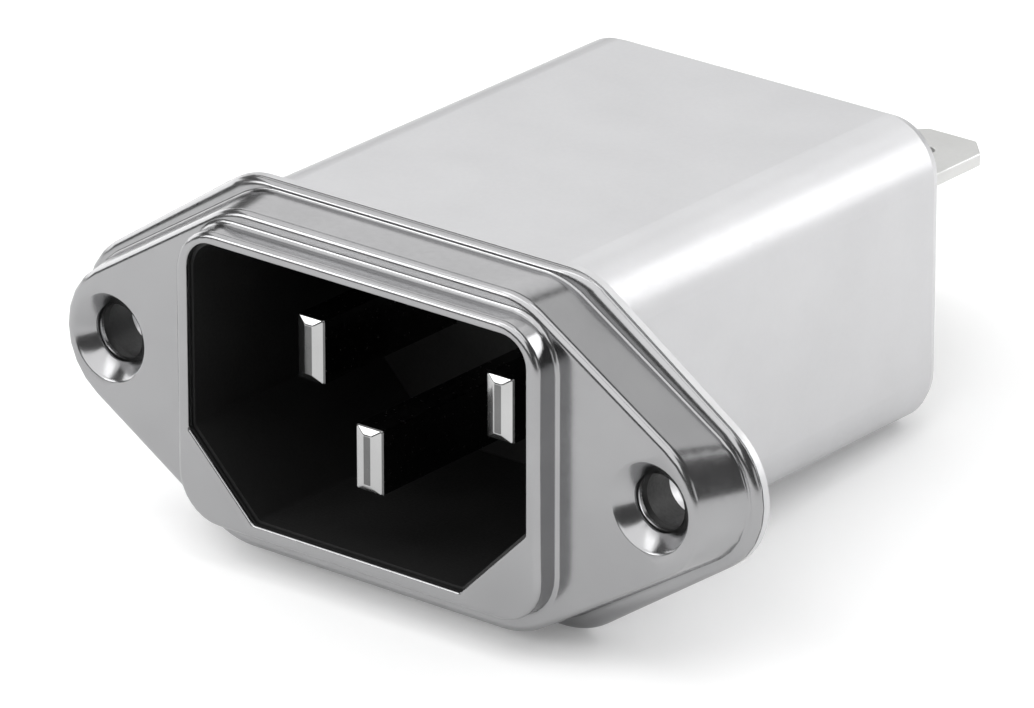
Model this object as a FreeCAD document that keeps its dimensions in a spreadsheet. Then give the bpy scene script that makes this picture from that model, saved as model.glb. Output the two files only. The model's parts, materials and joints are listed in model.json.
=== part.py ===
# A mains power inlet with a built-in line filter, made to be screwed over a panel cut-out.
#
# Frame: X runs along the line of the two fixing holes, to the right as seen from the socket side.
# Y runs through the panel, from the socket towards the rear terminals. Z is up.
# The origin lies midway between the fixing holes, on the flange's rear face, which seats on the panel.
# Lengths are in millimetres.

import FreeCAD
import Part

import math
import os

import Sketcher

DRIVING_DIMENSIONS = (
    ("hole_spacing", 40.0, "distance between the two fixing holes"),
    ("hole_diameter", 3.4, "fixing hole, for a 3 mm screw"),
    ("countersink_diameter", 5.8, "mouth of the dimple round a fixing hole"),
    ("flange_length", 50.0, "overall length of the flange"),
    ("flange_height", 22.0, "overall height of the flange"),
    ("flange_slant", 34.0, "slope of the flange's four long corners, in degrees"),
    ("flange_corner", 5.0, "rounding where a slanted side meets the top or bottom"),
    ("wall_length", 48.6, "length of the cover's wall where it rises from the lip"),
    ("wall_height", 21.0, "height of the cover's wall where it rises from the lip"),
    ("wall_slant", 32.0, "slope of the cover's four long corners, in degrees"),
    ("wall_corner", 5.3, "rounding of the cover between a slanted side and the top or bottom"),
    ("cover_depth", 4.5, "panel seat to the cover's front face"),
    ("face_length", 46.8, "length of the cover's front face"),
    ("face_height", 20.9, "height of the cover's front face"),
    ("face_end_radius", 4.7, "rounded ends of the cover's front face"),
    ("face_edge_radius", 0.5, "rounding of the cover's front edge"),
    ("sheet", 0.5, "thickness of the cover's and the can's steel sheet"),
    ("collar_projection", 1.7, "how far the collar round the socket stands out"),
    ("collar_width", 26.8, "outer width of the collar"),
    ("collar_top", 9.4, "height of the collar above the hole line"),
    ("collar_bottom", 8.9, "depth of the collar below the hole line"),
    ("collar_corner", 3.0, "rounded corners of the collar"),
    ("collar_edge_radius", 0.4, "rounding of the collar's front edge"),
    ("socket_width", 25.0, "width of the pierced opening in the collar"),
    ("socket_top", 8.65, "top of the opening above the hole line"),
    ("socket_bottom", 8.0, "bottom of the opening below the hole line"),
    ("socket_chamfer", 4.8, "leg of the opening's two cut lower corners"),
    ("socket_corner", 1.8, "rounding of the opening's upper corners"),
    ("socket_step", 0.15, "how far the moulding shows inside the pierced opening"),
    ("socket_depth", 16.6, "collar's front to the floor of the socket"),
    ("floor_thickness", 2.0, "floor of the socket, which holds the pins"),
    ("moulding_gap", 0.05, "play between the moulding and the sheet round it"),
    ("can_width", 27.0, "outer width of the filter can"),
    ("can_top", 10.65, "top of the can above the hole line"),
    ("can_bottom", 8.6, "bottom of the can below the hole line"),
    ("can_corner", 3.5, "rounded long edges of the can"),
    ("can_depth", 31.8, "panel seat to the can's rear wall"),
    ("can_rear_radius", 1.0, "rounding round the can's rear wall"),
    ("pin_height", 4.0, "tall side of a contact pin's section"),
    ("pin_thickness", 2.0, "thin side of a contact pin's section"),
    ("pin_bevel", 0.6, "bevel round a contact pin's tip, across the tip"),
    ("pin_bevel_depth", 0.3, "bevel round a contact pin's tip, along the pin"),
    ("live_pin_offset", 7.0, "line and neutral pins, either side of the middle"),
    ("live_pin_rise", 1.7, "line and neutral pins above the hole line"),
    ("live_pin_setback", 4.35, "collar's front to the line and neutral pin tips"),
    ("earth_pin_drop", 2.3, "earth pin below the hole line"),
    ("earth_pin_setback", 1.15, "collar's front to the earth pin's tip"),
    ("pin_shoulder", 0.8, "shoulder of a pin behind the socket's floor"),
    ("tail_height", 2.0, "tall side of a pin's solder tail"),
    ("tail_thickness", 0.8, "thin side of a pin's solder tail"),
    ("live_tail", 3.6, "line and neutral solder tails behind the socket's floor"),
    ("earth_tail", 2.2, "earth pin's tail behind the socket's floor"),
    ("barrier_offset", 3.0, "barriers between the tails, either side of the middle"),
    ("barrier_depth", 1.8, "how far the barriers stand out behind the floor"),
    ("barrier_thickness", 1.0, "thickness of a barrier"),
    ("barrier_top", 7.0, "top of a barrier above the hole line"),
    ("barrier_bottom", 6.0, "bottom of a barrier below the hole line"),
    ("block_width", 23.2, "width of the terminal block inside the rear wall"),
    ("block_height", 7.6, "height of the terminal block inside the rear wall"),
    ("block_flange", 1.5, "thickness of the terminal block inside the rear wall"),
    ("boss_width", 21.1, "width of the terminal block where it passes the rear wall"),
    ("boss_height", 4.3, "height of the terminal block where it passes the rear wall"),
    ("boss_corner", 0.8, "rounded corners of the terminal block"),
    ("block_boss", 2.3, "terminal block from the rear wall's inside to its rear face"),
    ("tab_tongue", 2.8, "solder tongue of a rear blade inside the can"),
    ("tongue_width", 4.8, "width of a rear blade's solder tongue"),
    ("tab_width", 6.3, "width of a rear terminal blade"),
    ("tab_thickness", 0.8, "thickness of a rear terminal blade"),
    ("tab_reach", 10.8, "can's rear wall to the tip of a rear blade"),
    ("tab_offset", 6.25, "line and neutral blades, either side of the middle"),
    ("tab_rise", 4.5, "middle of the line and neutral blades above the hole line"),
    ("core_radius", 6.3, "outer radius of the choke's ring core"),
    ("core_bore", 4.2, "inner radius of the choke's ring core"),
    ("core_height", 5.0, "height of the choke's ring core"),
    ("wire", 0.85, "thickness of the choke's winding wire"),
    ("choke_y", 22.2, "middle of the choke behind the panel seat"),
    ("choke_z", -4.0, "middle of the choke against the hole line"),
    ("turns", 8, "turns of each choke winding"),
    ("turn_pitch", 13.5, "angle from one turn to the next, in degrees"),
    ("strap_width", 3.0, "width of the earth strap"),
    ("strap_thickness", 0.4, "thickness of the earth strap"),
    ("rivet_drop", 4.4, "earth rivet below the hole line"),
    ("rivet_radius", 1.2, "shank radius of the earth rivet"),
    ("x_case_width", 12.2, "width of the box capacitor between line and neutral"),
    ("x_case_depth", 11.0, "front to back of the box capacitor"),
    ("x_case_height", 5.0, "height of the box capacitor"),
    ("x_case_y", 14.8, "box capacitor's front behind the panel seat"),
    ("x_case_z", 2.3, "middle of the box capacitor above the hole line"),
    ("y_disc_radius", 3.7, "radius of a disc capacitor between a live side and earth"),
    ("y_disc_thickness", 3.0, "thickness of a disc capacitor"),
    ("y_disc_offset", 6.3, "disc capacitors, either side of the middle"),
    ("y_disc_y", 20.5, "middle of a disc capacitor behind the panel seat"),
    ("y_disc_z", 6.9, "middle of a disc capacitor above the hole line"),
    ("resistor_length", 6.3, "length of the bleed resistor's body"),
    ("resistor_radius", 1.1, "radius of the bleed resistor's end caps"),
    ("resistor_waist", 0.95, "radius of the bleed resistor's body between the caps"),
    ("resistor_cap", 0.95, "length of one end cap of the bleed resistor"),
    ("resistor_y", 27.7, "bleed resistor behind the panel seat"),
    ("resistor_z", 8.5, "bleed resistor above the hole line"),
)


class Measure:
    """A length or angle that carries the sheet expression it comes from."""

    def __init__(self, value, text):
        self.value = value
        self.text = text

    def combined(self, other, sign, value):
        return Measure(value, f"({self.text} {sign} {other.text})")

    def __add__(self, other):
        other = measured(other)
        return self.combined(other, "+", self.value + other.value)

    def __radd__(self, other):
        return measured(other) + self

    def __sub__(self, other):
        other = measured(other)
        return self.combined(other, "-", self.value - other.value)

    def __rsub__(self, other):
        return measured(other) - self

    def __mul__(self, other):
        other = measured(other)
        return self.combined(other, "*", self.value * other.value)

    def __truediv__(self, other):
        other = measured(other)
        return self.combined(other, "/", self.value / other.value)

    def __neg__(self):
        return Measure(-self.value, f"(-1 * {self.text})")

    def sine(self):
        return Measure(math.sin(math.radians(self.value)), f"sin({self.text} * 1 deg)")

def measured(item):
    """Turn a plain number into a Measure, and leave a Measure as it is."""
    return item if isinstance(item, Measure) else Measure(float(item), str(float(item)))


def driving_sheet(doc):
    """Write the driving dimensions into the spreadsheet, one named cell each."""
    sheet = doc.addObject("Spreadsheet::Sheet", "Dimensions")
    for row, (alias, value, meaning) in enumerate(DRIVING_DIMENSIONS, start=1):
        sheet.set(f"A{row}", meaning)
        sheet.set(f"B{row}", str(value))
        sheet.setAlias(f"B{row}", alias)
    doc.recompute()
    return {
        alias: Measure(float(sheet.get(alias)), f"Dimensions.{alias}")
        for alias, _, _ in DRIVING_DIMENSIONS
    }


DOC = FreeCAD.newDocument("filtered_inlet")
SIZE = driving_sheet(DOC)


def bind(item, name, measure):
    """Tie one property of a feature to the sheet."""
    item.setExpression(name, measured(measure).text)


# ---- helpers for bodies, sketches and features ----


def new_body(label):
    body = DOC.addObject("PartDesign::Body", label)
    body.Label = label
    return body


def new_sketch(body, name, plane, level, across=0.0, up=0.0):
    """A sketch parallel to an origin plane; level runs along the plane's normal."""
    sketch = body.newObject("Sketcher::SketchObject", name)
    support = next(item for item in body.Origin.OriginFeatures if item.Role == plane)
    sketch.AttachmentSupport = [(support, "")]
    sketch.MapMode = "FlatFace"
    bind(sketch, "AttachmentOffset.Base.x", across)
    bind(sketch, "AttachmentOffset.Base.y", up)
    bind(sketch, "AttachmentOffset.Base.z", level)
    return sketch


def cross_section(body, name, y, across=0.0, up=0.0):
    """A sketch across the unit at a given Y: its own x is X, its own y is Z."""
    return new_sketch(body, name, "XZ_Plane", -measured(y), across, up)


def settled(feature, adds):
    """Recompute, and make sure that the feature added or removed material."""
    DOC.recompute()
    base = feature.BaseFeature
    before = base.Shape.Volume if base else 0.0
    change = feature.Shape.Volume - before
    if (change > 0) != adds or abs(change) < 1e-4:
        raise RuntimeError(f"{feature.Label} changed the volume by {change:.4f}")
    return feature


def extruded(kind, body, sketch, name, length, reverse, adds):
    feature = body.newObject(kind, name)
    feature.Profile = sketch
    feature.Reversed = reverse
    bind(feature, "Length", length)
    return settled(feature, adds)


def pad_forward(body, sketch, name, length):
    """Add material from a cross-section towards the front, which is -Y."""
    return extruded("PartDesign::Pad", body, sketch, name, length, False, True)


def pad_back(body, sketch, name, length):
    """Add material from a cross-section towards the rear, which is +Y."""
    return extruded("PartDesign::Pad", body, sketch, name, length, True, True)


def pocket_forward(body, sketch, name, length):
    return extruded("PartDesign::Pocket", body, sketch, name, length, True, False)


def pocket_back(body, sketch, name, length):
    return extruded("PartDesign::Pocket", body, sketch, name, length, False, False)


def pad_both_ways(body, sketch, name, width):
    """Add material equally on both sides of a sketch."""
    feature = body.newObject("PartDesign::Pad", name)
    feature.Profile = sketch
    feature.Midplane = True
    bind(feature, "Length", width)
    return settled(feature, True)


def lofted(kind, body, name, sections, adds):
    """Add or remove the straight-sided shape that runs through all the sections in turn."""
    feature = body.newObject(kind, name)
    feature.Profile = sections[0]
    feature.Sections = sections[1:]
    feature.Ruled = True
    return settled(feature, adds)


def bevelled(body, base, name, width, wanted):
    """Chamfer the edges of base for which wanted(edge) is true."""
    edges = [
        f"Edge{index}"
        for index, edge in enumerate(base.Shape.Edges, start=1)
        if wanted(edge)
    ]
    feature = body.newObject("PartDesign::Chamfer", name)
    feature.Base = (base, edges)
    bind(feature, "Size", width)
    DOC.recompute()
    return feature


def lies_at_y(edge, y):
    box = edge.BoundBox
    return abs(box.YMin - y) < 1e-4 and abs(box.YMax - y) < 1e-4


# ---- closed outlines of straight sides and tangent arcs ----


def meeting_point(first, second):
    """Where two sides meet; a side is its heading in degrees and its distance from the origin."""
    rows = []
    for heading, distance in (first, second):
        angle = math.radians(heading.value)
        rows.append((math.sin(angle), -math.cos(angle), distance.value))
    (a, b, p), (c, d, q) = rows
    scale = a * d - b * c
    return FreeCAD.Vector((p * d - b * q) / scale, (a * q - p * c) / scale, 0)


def along(side):
    angle = math.radians(side[0].value)
    return FreeCAD.Vector(math.cos(angle), math.sin(angle), 0)


def turn_to(first, second):
    """Turn from one side to the next in radians, positive anticlockwise."""
    return math.radians((second[0].value - first[0].value + 180) % 360 - 180)


def corner_arc(side, end, turn, radius):
    """The tangent arc that leaves a side at its end; a clockwise one is drawn from its far end."""
    left = FreeCAD.Vector(-along(side).y, along(side).x, 0)
    hand = 1 if turn > 0 else -1
    circle = Part.Circle(end + left * (radius * hand), FreeCAD.Vector(0, 0, 1), radius)
    start_angle = math.radians(side[0].value - 90 * hand)
    angles = sorted((start_angle, start_angle + turn))
    return Part.ArcOfCircle(circle, *angles)


def outline(sketch, sides, radii):
    """Draw a closed outline, anticlockwise.

    Each side is its heading in degrees and its distance from the sketch's origin,
    negative where the origin lies outside that side.
    Each radius rounds the corner at the end of the side with the same place in the list.
    """
    sides = [(measured(heading), measured(distance)) for heading, distance in sides]
    radii = [measured(radius) for radius in radii]
    count = len(sides)
    following = [sides[(place + 1) % count] for place in range(count)]
    corners = [meeting_point(sides[place], following[place]) for place in range(count)]
    turns = [turn_to(sides[place], following[place]) for place in range(count)]
    trims = [radii[place].value * math.tan(abs(turns[place]) / 2) for place in range(count)]
    lines = []
    arcs = []
    for place, side in enumerate(sides):
        start = corners[place - 1] + along(side) * trims[place - 1]
        end = corners[place] - along(side) * trims[place]
        lines.append(sketch.addGeometry(Part.LineSegment(start, end), False))
        if radii[place].value == 0:
            arcs.append(None)
            continue
        arc = corner_arc(side, end, turns[place], radii[place].value)
        arcs.append(sketch.addGeometry(arc, False))
    for place in range(count):
        next_line = lines[(place + 1) % count]
        if arcs[place] is None:
            sketch.addConstraint(Sketcher.Constraint("Coincident", lines[place], 2, next_line, 1))
            continue
        near, far = (1, 2) if turns[place] > 0 else (2, 1)
        sketch.addConstraint(Sketcher.Constraint("Tangent", lines[place], 2, arcs[place], near))
        sketch.addConstraint(Sketcher.Constraint("Tangent", arcs[place], far, next_line, 1))
        dimension(sketch, radii[place], "Radius", arcs[place])
    for line, (heading, distance) in zip(lines, sides):
        hold_distance(sketch, line, distance)
        hold_heading(sketch, line, heading)
    DOC.recompute()
    return sketch


def hold_distance(sketch, line, distance):
    """Hold a line at its distance from the origin, or on the sketch's own x axis."""
    if distance.value == 0:
        sketch.addConstraint(Sketcher.Constraint("PointOnObject", line, 1, -1))
    else:
        size = distance if distance.value > 0 else -distance
        dimension(sketch, size, "Distance", -1, 1, line)


def dimension(sketch, measure, kind, *where):
    """Add a driving dimension to a sketch and tie it to the sheet."""
    index = sketch.addConstraint(Sketcher.Constraint(kind, *where, measure.value))
    sketch.setExpression(f"Constraints[{index}]", measure.text)


def hold_heading(sketch, line, heading):
    if heading.value % 180 == 0:
        sketch.addConstraint(Sketcher.Constraint("Horizontal", line))
    elif heading.value % 90 == 0:
        sketch.addConstraint(Sketcher.Constraint("Vertical", line))
    else:
        turn = math.radians(heading.value)
        index = sketch.addConstraint(Sketcher.Constraint("Angle", line, turn))
        sketch.setExpression(f"Constraints[{index}]", f"{heading.text} * 1 deg")


def rounded_hexagon(sketch, slant, half_length, half_height, end_radius, corner_radius):
    """The flange's shape: flat top and bottom, four slanted sides, two round ends."""
    reach = (half_length - end_radius) * slant.sine() + end_radius
    sides = (
        (180 - slant, reach),
        (180, half_height),
        (slant - 180, reach),
        (-slant, reach),
        (0, half_height),
        (slant, reach),
    )
    radii = (corner_radius, corner_radius, end_radius) * 2
    return outline(sketch, sides, radii)


def rounded_rectangle(sketch, half_width, above, below, radius):
    sides = ((90, half_width), (180, above), (-90, half_width), (0, below))
    return outline(sketch, sides, (radius,) * 4)


def socket_outline(sketch, inset):
    """The socket's opening: a rectangle with round upper and cut lower corners."""
    half_width = SIZE["socket_width"] / 2 - inset
    above = SIZE["socket_top"] - inset
    below = SIZE["socket_bottom"] - inset
    cut = (half_width + below - SIZE["socket_chamfer"]) / math.sqrt(2)
    sides = (
        (90, half_width),
        (180, above),
        (-90, half_width),
        (-45, cut),
        (0, below),
        (45, cut),
    )
    upper = SIZE["socket_corner"]
    lower = SIZE["collar_edge_radius"]
    return outline(sketch, sides, (upper, upper, lower, lower, lower, lower))


def circles(sketch, centres, radius):
    """Equal circles on a sketch, each held to its centre."""
    for across, up in centres:
        across = measured(across)
        up = measured(up)
        middle = FreeCAD.Vector(across.value, up.value, 0)
        circle = Part.Circle(middle, FreeCAD.Vector(0, 0, 1), radius.value)
        index = sketch.addGeometry(circle, False)
        dimension(sketch, radius, "Radius", index)
        dimension(sketch, across, "DistanceX", -1, 1, index, 3)
        dimension(sketch, up, "DistanceY", -1, 1, index, 3)
    DOC.recompute()
    return sketch


# ---- levels along Y that several pieces share ----

SEAT = measured(0.0)
CAN_FLANGE_FRONT = -SIZE["sheet"]
LIP_FRONT = CAN_FLANGE_FRONT - SIZE["sheet"]
FACE_FRONT = -SIZE["cover_depth"]
FACE_BACK = FACE_FRONT + SIZE["sheet"]
COLLAR_FRONT = FACE_FRONT - SIZE["collar_projection"]
COLLAR_BACK = COLLAR_FRONT + SIZE["sheet"]
SOCKET_FLOOR = COLLAR_FRONT + SIZE["socket_depth"]
INSERT_REAR = SOCKET_FLOOR + SIZE["floor_thickness"]
CAN_REAR_INSIDE = SIZE["can_depth"] - SIZE["sheet"]
TAB_TIP = SIZE["can_depth"] + SIZE["tab_reach"]
DIMPLE_SLOPE = (SIZE["countersink_diameter"] - SIZE["hole_diameter"]) / 2
HALF_SPACING = SIZE["hole_spacing"] / 2
FIXING_HOLES = ((HALF_SPACING, 0.0), (-HALF_SPACING, 0.0))
LIVE_TIP = COLLAR_FRONT + SIZE["live_pin_setback"]
EARTH_TIP = COLLAR_FRONT + SIZE["earth_pin_setback"]
PIN_PLACES = (
    ("Line", SIZE["live_pin_offset"], SIZE["live_pin_rise"]),
    ("Neutral", -SIZE["live_pin_offset"], SIZE["live_pin_rise"]),
    ("Earth", measured(0.0), -SIZE["earth_pin_drop"]),
)
LIVE_TAIL_END = INSERT_REAR + SIZE["live_tail"]
EARTH_TAIL_END = INSERT_REAR + SIZE["earth_tail"]
BLOCK_FRONT = CAN_REAR_INSIDE - SIZE["block_flange"]
EARTH_BLADE = measured(-1.6)
TAB_TOP = SIZE["tab_rise"] + SIZE["tab_thickness"] / 2
DIMPLE_BACK_RADIUS = SIZE["countersink_diameter"] / 2 + SIZE["sheet"] * (math.sqrt(2) - 1)

# ---- small forms ----

BOSS_PLAY = 0.05
BOSS_EDGE = 0.3
SHOULDER_RIM = 0.5
BARRIER_ROUND = 0.3
TIP_CUT_ACROSS = 1.4
TIP_CUT_ALONG = 1.5
LOCKING_HOLE_RADIUS = 0.8
LOCKING_HOLE_SETBACK = 3.2
FOOT_BELOW_RIVET = 2.4
BEND_INSIDE = 0.4
STRAP_LIFT = 0.3
STRAP_FRONT_TOP = -1.3
STRAP_REAR_TOP = 0.3
RIVET_HEAD = 0.7
RIVET_HEAD_RIM = 0.8
RIVET_HEAD_BEVEL = 0.3
WINDING_PLAY = 0.05
DIVIDER = 1.0
DIVIDER_PLAY = 0.05
LINER = 0.2
LINER_END_GAP = 0.2
LEAD_RADIUS = 0.5
LEAD_BEND = 1.0
REAR_LEAD_RUN = 2.2
WIRE_SIDES = 8
THIN_LEAD = 0.3
THIN_BEND = 0.5
LEAD_ROOT = 0.5
X_CASE_ROUND = 0.5
X_LEAD_OFFSET = 5.0
Y_LEAD_SPREAD = 1.6
Y_LIVE_JOINT = 1.4
Y_EARTH_OFFSET = 1.0
Y_EARTH_SETBACK = 0.6
EARTH_JOINT_Z = -0.8


def flange_sketch(body, name, y):
    """The full outline of the flange's lip."""
    return rounded_hexagon(
        cross_section(body, name, y),
        SIZE["flange_slant"],
        SIZE["flange_length"] / 2,
        SIZE["flange_height"] / 2,
        SIZE["flange_length"] / 2 - HALF_SPACING,
        SIZE["flange_corner"],
    )


def wall_foot_sketch(body, name, y, inset):
    """The cover's side wall where it meets the lip, moved in by inset."""
    return rounded_hexagon(
        cross_section(body, name, y),
        SIZE["wall_slant"],
        SIZE["wall_length"] / 2 - inset,
        SIZE["wall_height"] / 2 - inset,
        SIZE["wall_length"] / 2 - HALF_SPACING - inset,
        SIZE["wall_corner"] - inset,
    )


def wall_top_sketch(body, name, y, inset):
    """The cover's side wall where it meets the front face, moved in by inset."""
    return rounded_hexagon(
        cross_section(body, name, y),
        SIZE["wall_slant"],
        SIZE["face_length"] / 2 - inset,
        SIZE["face_height"] / 2 - inset,
        SIZE["face_end_radius"] - inset,
        SIZE["wall_corner"] - inset,
    )


def collar_sketch(body, name, y, inset):
    return rounded_rectangle(
        cross_section(body, name, y),
        SIZE["collar_width"] / 2 - inset,
        SIZE["collar_top"] - inset,
        SIZE["collar_bottom"] - inset,
        SIZE["collar_corner"] - inset,
    )


def can_sketch(body, name, y, inset):
    return rounded_rectangle(
        cross_section(body, name, y),
        SIZE["can_width"] / 2 - inset,
        SIZE["can_top"] - inset,
        SIZE["can_bottom"] - inset,
        SIZE["can_corner"] - inset,
    )


def round_edge_sections(body, name, outline_at, y, radius, forward):
    """Three sections whose strips round the edge of a face that lies at y."""
    way = -1 if forward else 1
    halfway = radius * (1 - math.sqrt(0.5))
    return [
        outline_at(body, f"{name}Start", y - radius * way, 0.0),
        outline_at(body, f"{name}Middle", y - halfway * way, halfway),
        outline_at(body, f"{name}End", y, radius),
    ]


def dimple_cone(body, kind, name, mouth_radius, mouth_y, depth):
    """A 90 degree cone round the right-hand fixing hole, wide end towards the front."""
    cone = body.newObject(kind, name)
    support = next(item for item in body.Origin.OriginFeatures if item.Role == "XZ_Plane")
    cone.AttachmentSupport = [(support, "")]
    cone.MapMode = "FlatFace"
    bind(cone, "AttachmentOffset.Base.x", HALF_SPACING)
    bind(cone, "AttachmentOffset.Base.z", -(mouth_y + depth))
    bind(cone, "Radius1", mouth_radius - depth)
    bind(cone, "Radius2", mouth_radius)
    bind(cone, "Height", depth)
    DOC.recompute()
    return cone


def mirrored(body, name, originals):
    """Repeat features on the other side of the YZ plane."""
    feature = body.newObject("PartDesign::Mirrored", name)
    feature.Originals = originals
    plane = next(item for item in body.Origin.OriginFeatures if item.Role == "YZ_Plane")
    feature.MirrorPlane = (plane, [""])
    body.Tip = feature
    DOC.recompute()
    return feature


def fixing_bores(body, name, y, length):
    """Clear both fixing holes from a cross-section towards the rear."""
    sketch = circles(
        cross_section(body, f"{name}Sketch", y), FIXING_HOLES, SIZE["hole_diameter"] / 2
    )
    return pocket_back(body, sketch, name, length)


# ---- the pieces ----


def front_cover():
    """Drawn sheet cover: lip, flared wall, flat face, collar and two dimpled holes."""
    body = new_body("front_cover")
    lip = flange_sketch(body, "LipOutline", CAN_FLANGE_FRONT)
    pad_forward(body, lip, "Lip", SIZE["sheet"])
    wall = [
        wall_foot_sketch(body, "WallFoot", LIP_FRONT, 0.0),
        *round_edge_sections(
            body, "FaceEdge", wall_top_sketch, FACE_FRONT, SIZE["face_edge_radius"], True
        ),
    ]
    lofted("PartDesign::AdditiveLoft", body, "Wall", wall, True)
    collar = collar_sketch(body, "CollarOutline", FACE_FRONT, 0.0)
    edge = SIZE["collar_edge_radius"]
    pad_forward(body, collar, "Collar", SIZE["collar_projection"] - edge)
    brow = round_edge_sections(body, "CollarEdge", collar_sketch, COLLAR_FRONT, edge, True)
    lofted("PartDesign::AdditiveLoft", body, "CollarBrow", brow, True)
    hollow = [
        wall_foot_sketch(body, "HollowFoot", CAN_FLANGE_FRONT, SIZE["sheet"]),
        wall_top_sketch(body, "HollowTop", FACE_BACK, SIZE["sheet"]),
    ]
    lofted("PartDesign::SubtractiveLoft", body, "Hollow", hollow, False)
    inside = collar_sketch(body, "CollarInside", FACE_BACK, SIZE["sheet"])
    pocket_forward(body, inside, "CollarHollow", SIZE["collar_projection"])
    opening = socket_outline(cross_section(body, "OpeningOutline", COLLAR_FRONT), 0.0)
    pocket_back(body, opening, "Opening", SIZE["sheet"] * 2)
    cup_depth = DIMPLE_BACK_RADIUS - SIZE["hole_diameter"] / 2 - SIZE["sheet"]
    cup = dimple_cone(
        body, "PartDesign::AdditiveCone", "DimpleBack", DIMPLE_BACK_RADIUS, FACE_BACK, cup_depth
    )
    settled(mirrored(body, "DimpleBacks", [cup]), True)
    mouth = dimple_cone(
        body,
        "PartDesign::SubtractiveCone",
        "Dimple",
        SIZE["countersink_diameter"] / 2,
        FACE_FRONT,
        DIMPLE_SLOPE,
    )
    settled(mirrored(body, "Dimples", [mouth]), False)
    fixing_bores(body, "FixingHoles", FACE_FRONT, SIZE["cover_depth"])
    return body


def filter_can():
    """Deep-drawn can with its own flange, open at the front."""
    body = new_body("filter_can")
    flange = flange_sketch(body, "FlangeOutline", CAN_FLANGE_FRONT)
    pad_back(body, flange, "Flange", SIZE["sheet"])
    shell = can_sketch(body, "ShellOutline", SEAT, 0.0)
    edge = SIZE["can_rear_radius"]
    pad_back(body, shell, "Shell", SIZE["can_depth"] - edge)
    rear = round_edge_sections(body, "RearEdge", can_sketch, SIZE["can_depth"], edge, False)
    lofted("PartDesign::AdditiveLoft", body, "Rear", rear, True)
    inside = can_sketch(body, "InsideOutline", CAN_FLANGE_FRONT, SIZE["sheet"])
    pocket_back(body, inside, "Inside", SIZE["can_depth"])
    window = block_sketch(body, "TerminalWindow", CAN_REAR_INSIDE, BOSS_PLAY)
    pocket_back(body, window, "TerminalOpening", SIZE["sheet"] * 2)
    rivet_hole_back(body, CAN_REAR_INSIDE, SIZE["sheet"] * 2)
    fixing_bores(body, "FixingHoles", CAN_FLANGE_FRONT, SIZE["sheet"])
    return body


def block_sketch(body, name, y, grow):
    """The terminal block's section through the rear wall, grown by grow."""
    return rounded_rectangle(
        cross_section(body, name, y, 0.0, SIZE["tab_rise"]),
        SIZE["boss_width"] / 2 + grow,
        SIZE["boss_height"] / 2 + grow,
        SIZE["boss_height"] / 2 + grow,
        SIZE["boss_corner"] + grow,
    )


def rivet_hole_back(body, y, length):
    """Clear the earth rivet's hole from a cross-section towards the rear."""
    sketch = cross_section(body, "RivetHoleSketch", y)
    circles(sketch, ((0.0, -SIZE["rivet_drop"]),), SIZE["rivet_radius"])
    return pocket_back(body, sketch, "RivetHole", length)


def socket_insert():
    """Black moulding: it fills the cover, lines the collar and carries the pins."""
    body = new_body("socket_insert")
    gap = SIZE["moulding_gap"]
    fit = SIZE["sheet"] + gap
    plate = wall_top_sketch(body, "PlateOutline", CAN_FLANGE_FRONT, fit)
    pad_forward(body, plate, "Plate", CAN_FLANGE_FRONT - FACE_BACK)
    nose = collar_sketch(body, "NoseOutline", FACE_BACK, fit)
    pad_forward(body, nose, "Nose", SIZE["collar_projection"])
    trunk = can_sketch(body, "TrunkOutline", CAN_FLANGE_FRONT, fit)
    pad_back(body, trunk, "Trunk", INSERT_REAR - CAN_FLANGE_FRONT)
    rib = rounded_rectangle(
        cross_section(body, "BarrierOutline", INSERT_REAR, SIZE["barrier_offset"]),
        SIZE["barrier_thickness"] / 2,
        SIZE["barrier_top"],
        SIZE["barrier_bottom"],
        BARRIER_ROUND,
    )
    barrier = pad_back(body, rib, "Barrier", SIZE["barrier_depth"])
    settled(mirrored(body, "Barriers", [barrier]), True)
    cavity = socket_outline(cross_section(body, "CavityOutline", COLLAR_BACK), SIZE["socket_step"])
    pocket_back(body, cavity, "Cavity", SOCKET_FLOOR - COLLAR_BACK)
    half_thin = SIZE["pin_thickness"] / 2
    half_tall = SIZE["pin_height"] / 2
    for name, across, up in PIN_PLACES:
        slot = cross_section(body, f"{name}SlotOutline", SOCKET_FLOOR, across, up)
        rounded_rectangle(slot, half_thin, half_tall, half_tall, 0.0)
        pocket_back(body, slot, f"{name}Slot", SIZE["floor_thickness"] * 2)
    seat_radius = DIMPLE_BACK_RADIUS + gap
    seat = dimple_cone(
        body,
        "PartDesign::SubtractiveCone",
        "DimpleSeat",
        seat_radius,
        FACE_BACK,
        seat_radius - SIZE["hole_diameter"] / 2,
    )
    settled(mirrored(body, "DimpleSeats", [seat]), False)
    fixing_bores(body, "FixingBores", FACE_BACK, SIZE["cover_depth"])
    return body


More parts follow.
